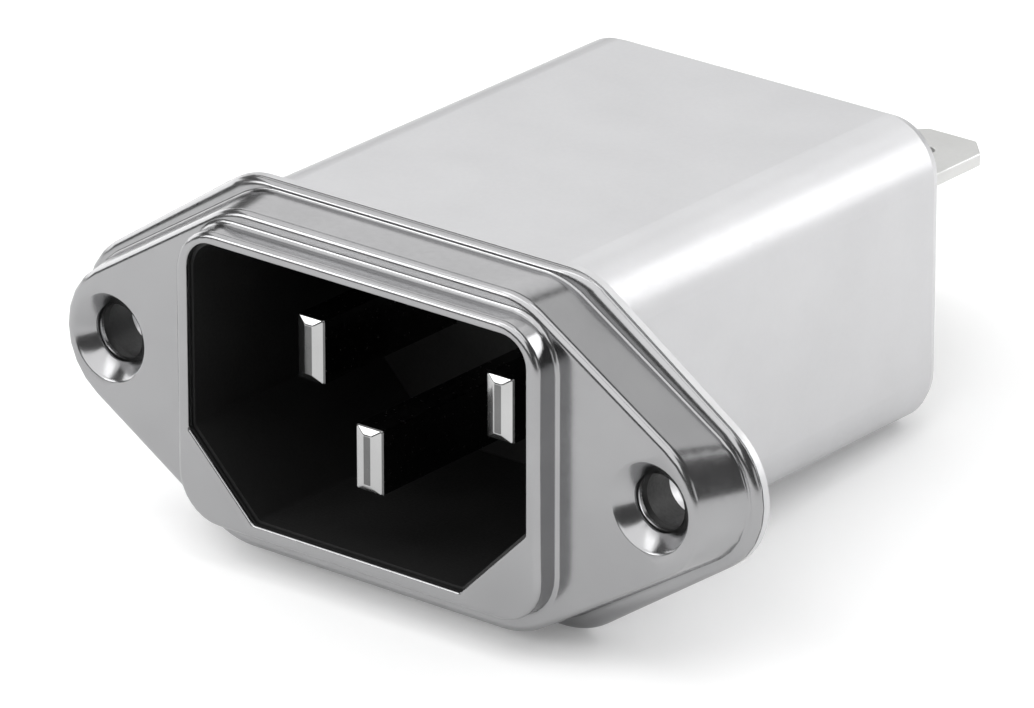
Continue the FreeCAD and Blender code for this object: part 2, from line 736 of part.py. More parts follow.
def contact_pin(label, tip, across, up, tail_end):
    """Bevelled flat pin with a shoulder behind the socket's floor and a solder tail."""
    body = new_body(label)
    half_thin = SIZE["pin_thickness"] / 2
    half_tall = SIZE["pin_height"] / 2
    blade_front = tip + SIZE["pin_bevel_depth"]
    blade_outline = cross_section(body, "BladeOutline", blade_front, across, up)
    rounded_rectangle(blade_outline, half_thin, half_tall, half_tall, 0.0)
    pad_back(body, blade_outline, "Blade", INSERT_REAR - blade_front)
    bevel = []
    for name, y, inset in (("Foot", blade_front, measured(0)), ("Tip", tip, SIZE["pin_bevel"])):
        section = cross_section(body, f"Bevel{name}", y, across, up)
        rounded_rectangle(section, half_thin - inset, half_tall - inset, half_tall - inset, 0.0)
        bevel.append(section)
    lofted("PartDesign::AdditiveLoft", body, "TipBevel", bevel, True)
    wide = half_thin + SHOULDER_RIM
    tall = half_tall + SHOULDER_RIM
    shoulder_outline = cross_section(body, "ShoulderOutline", INSERT_REAR, across, up)
    rounded_rectangle(shoulder_outline, wide, tall, tall, 0.0)
    pad_back(body, shoulder_outline, "Shoulder", SIZE["pin_shoulder"])
    tail_start = INSERT_REAR + SIZE["pin_shoulder"]
    tail_outline = cross_section(body, "TailOutline", tail_start, across, up)
    half_tail = SIZE["tail_height"] / 2
    rounded_rectangle(tail_outline, SIZE["tail_thickness"] / 2, half_tail, half_tail, 0.0)
    pad_back(body, tail_outline, "Tail", tail_end - tail_start)
    return body


def live_pin(label, across):
    return contact_pin(label, LIVE_TIP, across, SIZE["live_pin_rise"], LIVE_TAIL_END)


def line_pin():
    return live_pin("line_pin", SIZE["live_pin_offset"])


def neutral_pin():
    return live_pin("neutral_pin", -SIZE["live_pin_offset"])


def earth_pin():
    return contact_pin("earth_pin", EARTH_TIP, measured(0), -SIZE["earth_pin_drop"], EARTH_TAIL_END)


def terminal_block():
    """Moulded block that carries the line and neutral blades through the rear wall."""
    body = new_body("terminal_block")
    flange_outline = rounded_rectangle(
        cross_section(body, "FlangeOutline", BLOCK_FRONT, 0.0, SIZE["tab_rise"]),
        SIZE["block_width"] / 2,
        SIZE["block_height"] / 2,
        SIZE["block_height"] / 2,
        SIZE["boss_corner"],
    )
    pad_back(body, flange_outline, "Flange", SIZE["block_flange"])
    boss_outline = block_sketch(body, "BossOutline", CAN_REAR_INSIDE, 0.0)
    boss = pad_back(body, boss_outline, "Boss", SIZE["block_boss"])
    rear = (CAN_REAR_INSIDE + SIZE["block_boss"]).value
    bevelled(body, boss, "BossEdge", BOSS_EDGE, lambda edge: lies_at_y(edge, rear))
    half_thick = SIZE["tab_thickness"] / 2
    for name, across in (("Line", SIZE["tab_offset"]), ("Neutral", -SIZE["tab_offset"])):
        slot = cross_section(body, f"{name}SlotOutline", BLOCK_FRONT, across, SIZE["tab_rise"])
        rounded_rectangle(slot, SIZE["tab_width"] / 2, half_thick, half_thick, 0.0)
        pocket_back(body, slot, f"{name}Slot", (SIZE["block_flange"] + SIZE["block_boss"]) * 2)
    return body


def blade_cuts(body, tip, across, level):
    """Cut the two corners of a blade's tip and its locking hole."""
    half = SIZE["tab_width"] / 2
    slope = math.atan2(TIP_CUT_ALONG, TIP_CUT_ACROSS)
    reach = (half - TIP_CUT_ACROSS) * math.sin(slope)
    outside = half + TIP_CUT_ACROSS
    beyond = (180, TIP_CUT_ALONG)
    right = ((90, outside), beyond, (-math.degrees(slope), -reach))
    left = ((-90, outside), (math.degrees(slope), -reach), beyond)
    for name, sides in (("Right", right), ("Left", left)):
        corner = new_sketch(body, f"{name}Corner", "XY_Plane", level, across, tip)
        outline(corner, sides, (0, 0, 0))
        cut_through(body, corner, f"{name}CornerCut")
    hole = new_sketch(body, "LockingHoleSketch", "XY_Plane", level, across, tip)
    circles(hole, ((0.0, -LOCKING_HOLE_SETBACK),), measured(LOCKING_HOLE_RADIUS))
    cut_through(body, hole, "LockingHole")


def cut_through(body, sketch, name):
    """Cut a horizontal sketch through the sheet that lies around its level."""
    feature = body.newObject("PartDesign::Pocket", name)
    feature.Profile = sketch
    feature.Midplane = True
    bind(feature, "Length", SIZE["tab_thickness"] * 3)
    return settled(feature, False)


def live_tab(label, across):
    """Flat 6.3 mm blade with a solder tongue inside the can."""
    body = new_body(label)
    up = SIZE["tab_rise"]
    thin = SIZE["tab_thickness"] / 2
    blade = cross_section(body, "BladeOutline", BLOCK_FRONT, across, up)
    rounded_rectangle(blade, SIZE["tab_width"] / 2, thin, thin, 0.0)
    pad_back(body, blade, "Blade", TAB_TIP - BLOCK_FRONT)
    tongue = cross_section(body, "TongueOutline", BLOCK_FRONT, across, up)
    rounded_rectangle(tongue, SIZE["tongue_width"] / 2, thin, thin, 0.0)
    pad_forward(body, tongue, "Tongue", SIZE["tab_tongue"])
    blade_cuts(body, TAB_TIP, across, up)
    return body


def line_tab():
    return live_tab("line_tab", SIZE["tab_offset"])


def neutral_tab():
    return live_tab("neutral_tab", -SIZE["tab_offset"])


def side_profile(body, name, up=0.0):
    """A sketch on the YZ plane: its own x is Y, its own y is Z."""
    return new_sketch(body, name, "YZ_Plane", 0.0, 0.0, up)


def spun(body, sketch, name, axis):
    """Turn a half profile right round one of its sketch's axes."""
    feature = body.newObject("PartDesign::Revolution", name)
    feature.Profile = sketch
    feature.ReferenceAxis = (sketch, [axis])
    feature.Angle = 360
    return settled(feature, True)


def earth_tab():
    """Blade bent up from a foot that is riveted to the outside of the rear wall."""
    body = new_body("earth_tab")
    wall = SIZE["can_depth"]
    thin = SIZE["tab_thickness"]
    under = EARTH_BLADE - thin / 2
    sides = (
        (0, SIZE["rivet_drop"] + FOOT_BELOW_RIVET),
        (90, wall + thin),
        (0, -under),
        (90, TAB_TIP),
        (180, under + thin),
        (-90, -wall),
    )
    profile = outline(
        side_profile(body, "Profile"), sides, (0, BEND_INSIDE, 0, 0, thin + BEND_INSIDE, 0)
    )
    pad_both_ways(body, profile, "Strip", SIZE["tab_width"])
    rivet_hole_back(body, wall, thin * 2)
    blade_cuts(body, TAB_TIP, 0.0, EARTH_BLADE)
    return body


def earth_strap():
    """Copper strip from the earth pin's tail, under the choke, to the rivet in the rear wall."""
    body = new_body("earth_strap")
    thin = SIZE["strap_thickness"]
    under = SIZE["can_bottom"] - SIZE["sheet"] - STRAP_LIFT
    bend = thin + BEND_INSIDE
    sides = (
        (0, under),
        (90, CAN_REAR_INSIDE),
        (180, STRAP_REAR_TOP),
        (-90, thin - CAN_REAR_INSIDE),
        (180, thin - under),
        (90, EARTH_TAIL_END + thin),
        (180, STRAP_FRONT_TOP),
        (-90, -EARTH_TAIL_END),
    )
    profile = outline(
        side_profile(body, "Profile"), sides, (bend, 0, 0, BEND_INSIDE, BEND_INSIDE, 0, 0, bend)
    )
    pad_both_ways(body, profile, "Strip", SIZE["strap_width"])
    rivet_hole_back(body, CAN_REAR_INSIDE - thin, thin * 2)
    return body


def earth_rivet():
    """Rivet through the strap, the can's rear wall and the earth blade's foot."""
    body = new_body("earth_rivet")
    shank_start = CAN_REAR_INSIDE - SIZE["strap_thickness"]
    shank_end = SIZE["can_depth"] + SIZE["tab_thickness"]
    head = SIZE["rivet_radius"] + RIVET_HEAD_RIM
    sides = (
        (0, 0),
        (90, shank_end + RIVET_HEAD),
        (180, head),
        (-90, -shank_end),
        (180, SIZE["rivet_radius"]),
        (90, shank_start),
        (180, head),
        (-90, RIVET_HEAD - shank_start),
    )
    profile = outline(side_profile(body, "Profile", -SIZE["rivet_drop"]), sides, (0,) * 8)
    rivet = spun(body, profile, "Rivet", "H_Axis")
    ends = ((shank_start - RIVET_HEAD).value, (shank_end + RIVET_HEAD).value)
    bevelled(
        body, rivet, "HeadBevel", RIVET_HEAD_BEVEL, lambda edge: any(lies_at_y(edge, y) for y in ends)
    )
    return body


def placed_choke_body(label, turned):
    """A body whose own origin is the choke's middle, turned about its upright axis."""
    body = new_body(label)
    upright = FreeCAD.Vector(0, 0, 1)
    body.Placement = FreeCAD.Placement(FreeCAD.Vector(), FreeCAD.Rotation(upright, turned.value))
    bind(body, "Placement.Base.y", SIZE["choke_y"])
    bind(body, "Placement.Base.z", SIZE["choke_z"])
    return body


def choke_core():
    """Ferrite ring that both windings share."""
    body = placed_choke_body("choke_core", measured(0))
    half_height = SIZE["core_height"] / 2
    sides = (
        (90, SIZE["core_radius"]),
        (180, half_height),
        (-90, -SIZE["core_bore"]),
        (0, half_height),
    )
    section = outline(new_sketch(body, "Section", "XZ_Plane", 0.0), sides, (0,) * 4)
    spun(body, section, "Ring", "V_Axis")
    return body


def turn_section(body, name, grow):
    """The ring core's cross-section, to the right of the choke's axis, grown by grow."""
    half_width = (SIZE["core_radius"] - SIZE["core_bore"]) / 2 + grow
    half_height = SIZE["core_height"] / 2 + grow
    middle = (SIZE["core_radius"] + SIZE["core_bore"]) / 2
    sketch = new_sketch(body, name, "XZ_Plane", 0.0, middle)
    return rounded_rectangle(sketch, half_width, half_height, half_height, 0.0)


def choke_winding(label, facing):
    """Turns of enamelled wire round one side of the ring core."""
    spread = SIZE["turn_pitch"] * (SIZE["turns"] - 1)
    body = placed_choke_body(label, facing - spread / 2)
    outer = turn_section(body, "TurnOutside", WINDING_PLAY + SIZE["wire"])
    turn = pad_both_ways(body, outer, "Turn", SIZE["wire"])
    hollow = body.newObject("PartDesign::Pocket", "Window")
    hollow.Profile = turn_section(body, "TurnInside", WINDING_PLAY)
    hollow.Midplane = True
    bind(hollow, "Length", SIZE["wire"] * 2)
    settled(hollow, False)
    pattern = body.newObject("PartDesign::PolarPattern", "Turns")
    pattern.Originals = [turn, hollow]
    axis = next(item for item in body.Origin.OriginFeatures if item.Role == "Z_Axis")
    pattern.Axis = (axis, [""])
    bind(pattern, "Angle", spread)
    bind(pattern, "Occurrences", SIZE["turns"])
    body.Tip = pattern
    settled(pattern, True)
    return body


def line_winding():
    return choke_winding("line_winding", measured(0))


def neutral_winding():
    return choke_winding("neutral_winding", measured(180))


def winding_divider():
    """Plastic strip across the ring's bore that keeps the windings apart."""
    strip = DOC.addObject("Part::Box", "winding_divider")
    strip.Label = "winding_divider"
    height = SIZE["core_height"] + SIZE["wire"] * 2
    length = (SIZE["core_bore"] - DIVIDER_PLAY) * 2
    bind(strip, "Length", DIVIDER)
    bind(strip, "Width", length)
    bind(strip, "Height", height)
    bind(strip, "Placement.Base.x", -measured(DIVIDER) / 2)
    bind(strip, "Placement.Base.y", SIZE["choke_y"] - length / 2)
    bind(strip, "Placement.Base.z", SIZE["choke_z"] - height / 2)
    return strip


def insulating_liner():
    """Thin film sleeve between the can's walls and the filter's parts."""
    body = new_body("insulating_liner")
    fit = SIZE["sheet"] + SIZE["moulding_gap"]
    start = INSERT_REAR + LINER_END_GAP
    end = BLOCK_FRONT - LINER_END_GAP
    outer = can_sketch(body, "Outside", start, fit)
    pad_back(body, outer, "Sleeve", end - start)
    inner = can_sketch(body, "Inside", start, fit + LINER)
    pocket_back(body, inner, "Bore", end - start)
    return body


# ---- wires, and components that carry their own leads ----


def bent_path(points, bend):
    """A wire of straight runs between points, each corner cut off where a bend would start."""
    places = [points[0]]
    for before, corner, after in zip(points, points[1:], points[2:]):
        arrive = (corner - before).normalize()
        leave = (after - corner).normalize()
        trim = bend * math.tan(arrive.getAngle(leave) / 2)
        places += [corner - arrive * trim, corner + leave * trim]
    return Part.makePolygon(places + [points[-1]])


def wire_section(middle, direction, radius):
    """A closed regular polygon across a wire, with enough sides to look round at its size."""
    circle = Part.Circle(middle, direction, radius)
    step = 2 * math.pi / WIRE_SIDES
    corners = [circle.value(step * place) for place in range(WIRE_SIDES)]
    return Part.makePolygon(corners + corners[:1])


def bent_wire(label, points, radius, bend):
    """A wire along a bent path, whose points are given as X, Y and Z measures."""
    places = [FreeCAD.Vector(*(measured(value).value for value in point)) for point in points]
    section = wire_section(places[0], places[1] - places[0], radius)
    solid = True
    frenet = False
    mitred = 1
    wire = DOC.addObject("Part::Feature", label)
    wire.Label = label
    wire.Shape = bent_path(places, bend).makePipeShell([section], solid, frenet, mitred)
    return wire


def wound_lead(label, side, forward):
    """Insulated lead from the end of a winding to a pin's tail or to a rear blade."""
    half_spread = math.radians((SIZE["turn_pitch"] * (SIZE["turns"] - 1) / 2).value)
    leave = FreeCAD.Vector(side * math.cos(half_spread), forward * math.sin(half_spread), 0)
    middle = FreeCAD.Vector(0, SIZE["choke_y"].value, SIZE["choke_z"].value)
    start = middle + leave * (SIZE["core_radius"] + WINDING_PLAY + SIZE["wire"]).value
    if forward < 0:
        run = (SIZE["live_pin_offset"].value - abs(start.x)) / abs(leave.x)
        height = (SIZE["live_pin_rise"] - SIZE["tail_height"] / 2).value
    else:
        run = REAR_LEAD_RUN
        height = (SIZE["tab_rise"] - SIZE["tab_thickness"] / 2).value
    corner = start + leave * run
    end = FreeCAD.Vector(corner.x, corner.y, height)
    return bent_wire(label, (start, corner, end), LEAD_RADIUS, LEAD_BEND)


def line_lead_in():
    return wound_lead("line_lead_in", 1, -1)


def line_lead_out():
    return wound_lead("line_lead_out", 1, 1)


def neutral_lead_in():
    return wound_lead("neutral_lead_in", -1, -1)


def neutral_lead_out():
    return wound_lead("neutral_lead_out", -1, 1)


def fused(label, parts):
    """Join a component's body and its own leads into one piece."""
    joined = DOC.addObject("Part::MultiFuse", label)
    joined.Label = label
    joined.Shapes = parts
    DOC.recompute()
    return joined


def x_capacitor():
    """Box capacitor across line and neutral, with a lead to each pin's tail."""
    body = new_body("x_capacitor_case")
    front = SIZE["x_case_y"]
    half_height = SIZE["x_case_height"] / 2
    case = cross_section(body, "CaseOutline", front, 0.0, SIZE["x_case_z"])
    rounded_rectangle(case, SIZE["x_case_width"] / 2, half_height, half_height, X_CASE_ROUND)
    pad_back(body, case, "Case", SIZE["x_case_depth"])
    tail_side = SIZE["live_pin_offset"] - SIZE["tail_thickness"] / 2
    turn_y = front - (LIVE_TAIL_END - front) / 2
    z = SIZE["live_pin_rise"]
    leads = []
    for name, side in (("line", 1), ("neutral", -1)):
        across = measured(X_LEAD_OFFSET * side)
        points = ((across, front + LEAD_ROOT, z), (across, turn_y, z), (tail_side * side, turn_y, z))
        leads.append(bent_wire(f"x_capacitor_lead_{name}", points, THIN_LEAD, THIN_BEND))
    return fused("x_capacitor", [body, *leads])


def y_capacitor(label, side):
    """Disc capacitor from a rear blade to the earth strap."""
    body = new_body(f"{label}_disc")
    middle = SIZE["y_disc_offset"] * side
    y = SIZE["y_disc_y"]
    z = SIZE["y_disc_z"]
    sketch = new_sketch(body, "DiscOutline", "XY_Plane", z, middle, y)
    circles(sketch, ((0.0, 0.0),), SIZE["y_disc_radius"])
    pad_both_ways(body, sketch, "Disc", SIZE["y_disc_thickness"])
    inside = y + SIZE["y_disc_radius"] - LEAD_ROOT * 2
    outer = middle + Y_LEAD_SPREAD * side
    inner = middle - Y_LEAD_SPREAD * side
    tongue_y = BLOCK_FRONT - Y_LIVE_JOINT
    down_y = BLOCK_FRONT - Y_EARTH_SETBACK
    strap_face = CAN_REAR_INSIDE - SIZE["strap_thickness"]
    earth_x = Y_EARTH_OFFSET * side
    live_points = ((outer, inside, z), (outer, tongue_y, z), (outer, tongue_y, TAB_TOP))
    earth_points = (
        (inner, inside, z),
        (earth_x, down_y, z),
        (earth_x, down_y, EARTH_JOINT_Z),
        (earth_x, strap_face, EARTH_JOINT_Z),
    )
    live_lead = bent_wire(f"{label}_live_lead", live_points, THIN_LEAD, THIN_BEND)
    earth_lead = bent_wire(f"{label}_earth_lead", earth_points, THIN_LEAD, THIN_BEND)
    return fused(label, [body, live_lead, earth_lead])


def y_capacitor_line():
    return y_capacitor("y_capacitor_line", 1)


def y_capacitor_neutral():
    return y_capacitor("y_capacitor_neutral", -1)


def bleed_resistor():
    """Axial resistor across the two rear blades."""
    body = new_body("bleed_resistor_body")
    y = SIZE["resistor_y"]
    z = SIZE["resistor_z"]
    end = SIZE["resistor_length"] / 2
    waist_end = end - SIZE["resistor_cap"]
    sides = (
        (0, 0),
        (90, end),
        (180, SIZE["resistor_radius"]),
        (-90, -waist_end),
        (180, SIZE["resistor_waist"]),
        (90, -waist_end),
        (180, SIZE["resistor_radius"]),
        (-90, end),
    )
    profile = outline(new_sketch(body, "HalfProfile", "XY_Plane", z, 0.0, y), sides, (0,) * 8)
    spun(body, profile, "Body", "H_Axis")
    leads = []
    for name, side in (("line", 1), ("neutral", -1)):
        across = SIZE["tab_offset"] * side
        points = (((end - LEAD_ROOT) * side, y, z), (across, y, z), (across, y, TAB_TOP))
        leads.append(bent_wire(f"bleed_resistor_lead_{name}", points, THIN_LEAD, THIN_BEND))
    return fused("bleed_resistor", [body, *leads])


PIECES = (
    front_cover,
    filter_can,
    socket_insert,
    line_pin,
    neutral_pin,
    earth_pin,
    terminal_block,
    line_tab,
    neutral_tab,
    earth_tab,
    earth_rivet,
    earth_strap,
    choke_core,
    line_winding,
    neutral_winding,
    winding_divider,
    insulating_liner,
    line_lead_in,
    line_lead_out,
    neutral_lead_in,
    neutral_lead_out,
    x_capacitor,
    y_capacitor_line,
    y_capacitor_neutral,
    bleed_resistor,
)


def check_document():
    """Stop if any object of the document failed to recompute."""
    DOC.recompute()
    for item in DOC.Objects:
        troubles = [word for word in item.State if word in ("Invalid", "Error")]
        if troubles:
            raise RuntimeError(f"{item.Label}: {troubles}")


def export(pieces):
    os.makedirs("parts", exist_ok=True)
    for piece in pieces:
        shape = piece.Shape
        if shape.isNull() or not shape.isValid():
            raise RuntimeError(f"{piece.Label} has no valid shape")
        shape.exportStep(os.path.join("parts", f"{piece.Label}.step"))
        print(f"{piece.Label}: {len(shape.Solids)} solid, {shape.Volume:.1f} mm3")


def main():
    pieces = [make() for make in PIECES]
    check_document()
    export(pieces)


main()
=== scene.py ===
# %% [markdown]
# # A filtered power inlet for a panel, and the studio it is shown in
#
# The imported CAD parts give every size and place.
# This script adds what a machined STEP file leaves out: soft pressed edges on the sheet
# cover, bevelled pins, broken edges on the blades, a domed rivet, and the finish of each
# surface. Everything is in metres, in the frame of the part: X along the fixing holes,
# Y from the socket towards the rear blades, Z up, and the origin on the panel's surface.

# %% Load the frame
import json
import math

import bmesh
import bpy
from mathutils import Matrix, Vector


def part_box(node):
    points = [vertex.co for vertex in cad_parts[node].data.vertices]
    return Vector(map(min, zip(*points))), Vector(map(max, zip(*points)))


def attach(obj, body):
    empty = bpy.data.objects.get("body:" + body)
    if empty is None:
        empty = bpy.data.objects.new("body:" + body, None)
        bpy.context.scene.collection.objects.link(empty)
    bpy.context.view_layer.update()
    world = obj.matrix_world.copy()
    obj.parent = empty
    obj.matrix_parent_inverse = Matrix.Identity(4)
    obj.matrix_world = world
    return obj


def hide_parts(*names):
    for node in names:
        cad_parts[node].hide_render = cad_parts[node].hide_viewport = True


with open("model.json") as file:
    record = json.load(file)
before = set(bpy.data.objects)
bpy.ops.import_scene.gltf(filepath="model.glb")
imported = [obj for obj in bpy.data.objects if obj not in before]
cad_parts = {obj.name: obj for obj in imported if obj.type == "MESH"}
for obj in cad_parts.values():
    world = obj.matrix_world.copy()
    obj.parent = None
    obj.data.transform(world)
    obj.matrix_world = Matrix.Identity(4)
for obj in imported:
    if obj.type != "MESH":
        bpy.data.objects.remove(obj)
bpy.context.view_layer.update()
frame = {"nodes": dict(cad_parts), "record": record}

MM = 0.001
NODES = frame["nodes"]

# %% [markdown]
# ## Outlines
#
# The cover is stamped and drawn, so each of its steps is an outline of straight sides and
# tangent arcs. Such an outline could be a curve object, but a curve chooses its own points.
# Here a side is its heading in degrees and its distance from the origin, in the XZ plane,
# and each corner always gets the same number of points. Any ring then joins the next one
# point by point.

# %% Outlines made of straight sides and round corners
CORNER_POINTS = 9
CIRCLE_POINTS = 48


def meeting_point(first, second):
    """Where two sides meet."""
    a, b = (Vector((math.sin(math.radians(h)), -math.cos(math.radians(h)))) for h, _ in (first, second))
    scale = a.x * b.y - a.y * b.x
    return Vector(((first[1] * b.y - a.y * second[1]) / scale, (a.x * second[1] - first[1] * b.x) / scale))


def rounded_outline(sides, radii):
    """Points of a closed outline, each corner after a side rounded by its radius."""
    points = []
    for place, side in enumerate(sides):
        following = sides[(place + 1) % len(sides)]
        corner = meeting_point(side, following)
        start = math.radians(side[0])
        turn = math.radians((following[0] - side[0]) % 360)
        radius = radii[place]
        along = Vector((math.cos(start), math.sin(start)))
        left = Vector((-along.y, along.x))
        centre = corner - along * radius * math.tan(turn / 2) + left * radius
        for step in range(CORNER_POINTS):
            angle = start - math.pi / 2 + turn * step / (CORNER_POINTS - 1)
            points.append(centre + Vector((math.cos(angle), math.sin(angle))) * radius)
    return points


def hexagon(slant, half_length, half_height, end_radius, corner_radius):
    """The flange's shape: flat top and bottom, four slanted sides, two round ends."""
    reach = (half_length - end_radius) * math.sin(math.radians(slant)) + end_radius
    sides = (
        (180 - slant, reach),
        (180, half_height),
        (slant - 180, reach),
        (-slant, reach),
        (0, half_height),
        (slant, reach),
    )
    return rounded_outline(sides, (corner_radius, corner_radius, end_radius) * 2)


def box_outline(half_width, above, below, radius):
    """A rectangle with four equal round corners."""
    sides = ((90, half_width), (180, above), (-90, half_width), (0, below))
    return rounded_outline(sides, (radius,) * 4)


def circle_outline(centre_x, radius):
    """A circle drawn the same way round as the other outlines."""
    angles = [2 * math.pi * step / CIRCLE_POINTS for step in range(CIRCLE_POINTS)]
    return [Vector((centre_x + radius * math.cos(a), radius * math.sin(a))) for a in angles]


print("outline helpers ready,", CORNER_POINTS, "points in each corner")

# %% [markdown]
# ## Mesh helpers
#
# A loop is a ring of edges at one depth. Two loops with equal counts are bridged with
# quads, and a flat area between several loops is filled in one go. Extruding and
# insetting would also do, but loops keep every outline exact.

# %% Loops, bridges and flat fills


def add_loop(bm, points, y):
    """Draw an outline at one depth and return its edges."""
    ring = [bm.verts.new((point.x, y, point.y)) for point in points]
    return [bm.edges.new((ring[place - 1], vertex)) for place, vertex in enumerate(ring)]


def skin(bm, loops):
    """Bridge each loop to the next."""
    for near, far in zip(loops, loops[1:]):
        bmesh.ops.bridge_loops(bm, edges=near + far)


def fill_between(bm, loops):
    """Fill the flat area that lies inside the first loop and outside the others."""
    edges = [edge for loop in loops for edge in loop]
    forward = Vector((0, -1, 0))
    bmesh.ops.triangle_fill(bm, use_beauty=True, use_dissolve=False, edges=edges, normal=forward)


def quarter(radius, steps, convex=True):
    """(inset, depth) pairs along a quarter round, from its foot to its top."""
    pairs = []
    for step in range(steps + 1):
        angle = math.pi / 2 * step / steps
        if convex:
            pairs.append((radius * (1 - math.cos(angle)), radius * math.sin(angle)))
        else:
            pairs.append((radius * math.sin(angle), radius * (1 - math.cos(angle))))
    return pairs


print("loops, bridges and fills ready")

# %% [markdown]
# ## Finished pieces
#
# Each finished piece stands for one CAD node. It rides on the part's only body, hides
# that node, and takes the node's material slot.

# %% From a bmesh to a piece of the part
SMOOTH_BELOW = 40
MERGE_DISTANCE = 0.001 * MM
FLAT_WITHIN = math.radians(1)
stand_ins = []


def finished(name, bm, sharp_degrees=SMOOTH_BELOW):
    """Turn a bmesh into a smooth-shaded object at the origin."""
    bmesh.ops.recalc_face_normals(bm, faces=bm.faces)
    mesh = bpy.data.meshes.new(name)
    bm.to_mesh(mesh)
    bm.free()
    mesh.polygons.foreach_set("use_smooth", [True] * len(mesh.polygons))
    mesh.set_sharp_from_angle(angle=math.radians(sharp_degrees))
    piece = bpy.data.objects.new(name, mesh)
    bpy.context.scene.collection.objects.link(piece)
    return piece


def merged_copy(node, name):
    """A copy of a CAD node with its loose triangles joined up."""
    bm = bmesh.new()
    bm.from_mesh(NODES[node].data)
    bmesh.ops.remove_doubles(bm, verts=bm.verts, dist=MERGE_DISTANCE)
    bmesh.ops.dissolve_limit(
        bm, angle_limit=FLAT_WITHIN, verts=bm.verts, edges=bm.edges, use_dissolve_boundaries=False
    )
    return finished(name, bm)


def stand_for(piece, node, slot):
    """Put a finished piece in the place of a CAD node."""
    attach(piece, "root")
    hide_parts(node)
    stand_ins.append((piece, slot))
    return piece


print("piece helpers ready for", len(NODES), "CAD nodes")

# %% [markdown]
# ## The sheet cover
#
# The cover is one pressed sheet. Its surface runs from the lip, over the root and the
# flared wall, round the front edge and across the flat face, then up the collar and into
# the pierced opening. Two dimples carry the screw heads.
# The CAD cover has narrow flat strips at its edges, and a Bevel on a copy of it could only
# follow those strips. So the sheet's front surface is drawn again as rings with quarter
# rounds, and Solidify gives it a thickness.
# The depths come from the CAD cover's box; the outlines repeat the CAD dimensions.

# %% Depths and outlines of the cover
COVER_LOW, COVER_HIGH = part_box("front_cover")
BOLT_PATTERN = frame["record"]["mounts"][0]["dims"]
SHEET = 0.5 * MM
LIP_BACK = COVER_HIGH.y
LIP_FRONT = LIP_BACK - SHEET
COLLAR_FRONT = COVER_LOW.y
COLLAR_HEIGHT = 1.7 * MM
FACE = COLLAR_FRONT + COLLAR_HEIGHT
HOLE_X = BOLT_PATTERN["spacing_x_mm"] * MM / 2
HOLE_RADIUS = BOLT_PATTERN["hole_r_mm"] * MM
FLANGE_HALF_LENGTH = COVER_HIGH.x
FLANGE_HALF_HEIGHT = COVER_HIGH.z
FLANGE_CORNER = 5.0 * MM
FLANGE_SLANT = 34
WALL_SLANT = 32
# Half length, half height, end radius and corner radius.
WALL_FOOT = (24.3 * MM, 10.5 * MM, 4.3 * MM, 5.3 * MM)
WALL_TOP = (23.4 * MM, 10.45 * MM, 4.7 * MM, 5.3 * MM)
# Half width, height above, height below and corner radius.
COLLAR = (13.4 * MM, 9.4 * MM, 8.9 * MM, 3.0 * MM)
OPENING = (12.5 * MM, 8.65 * MM, 8.0 * MM)
OPENING_CUT = 4.8 * MM
OPENING_UPPER_RADIUS = 1.8 * MM
OPENING_LOWER_RADIUS = 0.4 * MM
print("fixing holes", round(2 * HOLE_X / MM, 1), "mm apart, face at Y", round(FACE / MM, 2), "mm")

# %% Rounds of the cover, each with its number of steps
LIP_STEPS = 8
WALL_ROOT, WALL_ROOT_STEPS = 0.15 * MM, 3
WALL_EDGE, WALL_EDGE_STEPS = 0.5 * MM, 6
COLLAR_ROOT, COLLAR_ROOT_STEPS = 0.3 * MM, 3
COLLAR_EDGE, COLLAR_EDGE_STEPS = 0.4 * MM, 5
OPENING_EDGE, OPENING_EDGE_STEPS = 0.12 * MM, 3
DIMPLE_ROUND = 0.1 * MM
DIMPLE_MOUTH = 2.7 * MM
DIMPLE_FLOOR = FACE + DIMPLE_MOUTH - HOLE_RADIUS
print("dimples sink", round((DIMPLE_FLOOR - FACE) / MM, 2), "mm to their screw holes")

# %% Outlines of the cover, moved inward by an inset


def flange_points(inset):
    end_radius = FLANGE_HALF_LENGTH - HOLE_X
    return hexagon(
        FLANGE_SLANT,
        FLANGE_HALF_LENGTH - inset,
        FLANGE_HALF_HEIGHT - inset,
        end_radius - inset,
        FLANGE_CORNER - inset,
    )


def wall_points(size, inset):
    return hexagon(WALL_SLANT, *(value - inset for value in size))


def collar_points(inset):
    return box_outline(*(value - inset for value in COLLAR))


def opening_points(inset):
    """The pierced opening: round upper corners, two cut lower corners."""
    half_width, above, below = (value - inset for value in OPENING)
    cut = (half_width + below - OPENING_CUT) / math.sqrt(2)
    sides = ((90, half_width), (180, above), (-90, half_width), (-45, cut), (0, below), (45, cut))
    return rounded_outline(sides, (OPENING_UPPER_RADIUS,) * 2 + (OPENING_LOWER_RADIUS,) * 4)


print("opening has", len(opening_points(0.0)), "points")

# %% Rings of the lip and the flared wall


def rolled_lip_rings():
    """The lip rolls over from its outer edge to the foot of the wall."""
    outer = flange_points(0.0)
    inner = wall_points(WALL_FOOT, -WALL_ROOT)
    rings = []
    for step in range(LIP_STEPS):
        angle = math.pi / 2 * step / LIP_STEPS
        across = 1 - math.cos(angle)
        points = [a.lerp(b, across) for a, b in zip(outer, inner)]
        rings.append((points, LIP_BACK - SHEET * math.sin(angle)))
    return rings


